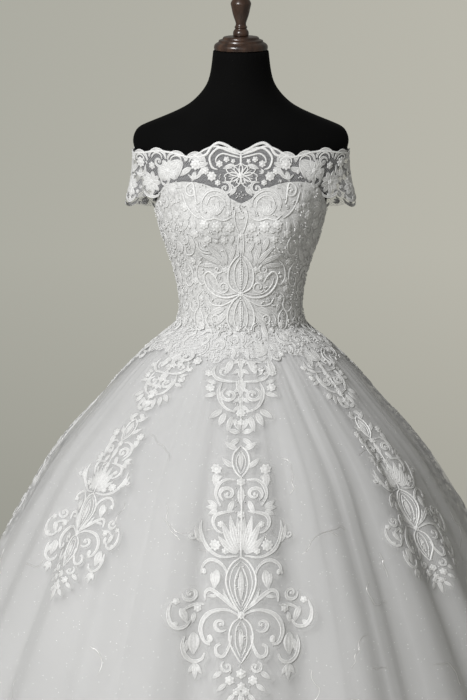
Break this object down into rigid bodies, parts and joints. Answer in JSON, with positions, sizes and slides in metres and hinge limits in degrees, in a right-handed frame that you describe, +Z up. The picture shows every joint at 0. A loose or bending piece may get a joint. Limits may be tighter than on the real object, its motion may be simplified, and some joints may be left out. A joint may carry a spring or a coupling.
{
  "type": "wedding dress on a limbless dress form",
  "caption": "Off-the-shoulder lace ball gown with a fitted bodice and a full tulle skirt, on a limbless dress form with a turned neck cap and a round foot.",
  "frame": {"origin": "centre of the stand's foot, on its underside", "axes": "+Z up through the neck of the form, -Y towards the front of the dress, +X towards the wearer's left"},
  "size_m": [1.4657, 1.4501, 1.7],
  "materials": {
    "black_jersey": "matt knitted cover",
    "dark_wood": "stained and satin varnished",
    "black_metal": "satin powder coat",
    "white_satin": "soft satin",
    "white_lace": "corded and sequinned lace",
    "sheer_tulle": "sheer tulle with a fine glitter",
    "zip_tape": "moulded coil on woven tape",
    "zip_metal": "polished nickel"
  },
  "bodies": {
    "dress_form": {"form_torso": "black_jersey", "neck_cap": "dark_wood", "finial": "dark_wood", "stand_pole": "black_metal", "stand_foot": "dark_wood", "bodice_centre_front": "white_satin", "bodice_side_front_left": "white_satin", "bodice_side_front_right": "white_satin", "bodice_side_back_left": "white_satin", "bodice_side_back_right": "white_satin", "bodice_back_left": "white_satin", "bodice_back_right": "white_satin", "lace_yoke_front": "white_lace", "lace_yoke_back_left": "white_lace", "lace_yoke_back_right": "white_lace", "sleeve_left": "white_lace", "sleeve_right": "white_lace", "skirt_tulle": "sheer_tulle", "skirt_lining_front": "white_satin", "skirt_lining_back": "white_satin", "waist_lace": "white_lace", "applique_front": "white_lace", "applique_front_left": "white_lace", "applique_front_right": "white_lace", "applique_side_left": "white_lace", "applique_side_right": "white_lace", "applique_back_left": "white_lace", "applique_back_right": "white_lace", "zip_chain": "zip_tape", "zip_slider": "zip_metal"},
    "zip_pull": {"zip_pull": "zip_metal"}
  },
  "joints": [
    {"name": "zip_pull_hinge", "type": "hinge", "parent": "dress_form", "child": "zip_pull", "pos_m": [0, 0.1112, 1.3835], "axis": [1, 0, 0], "range_deg": [0, 150]}
  ]
}
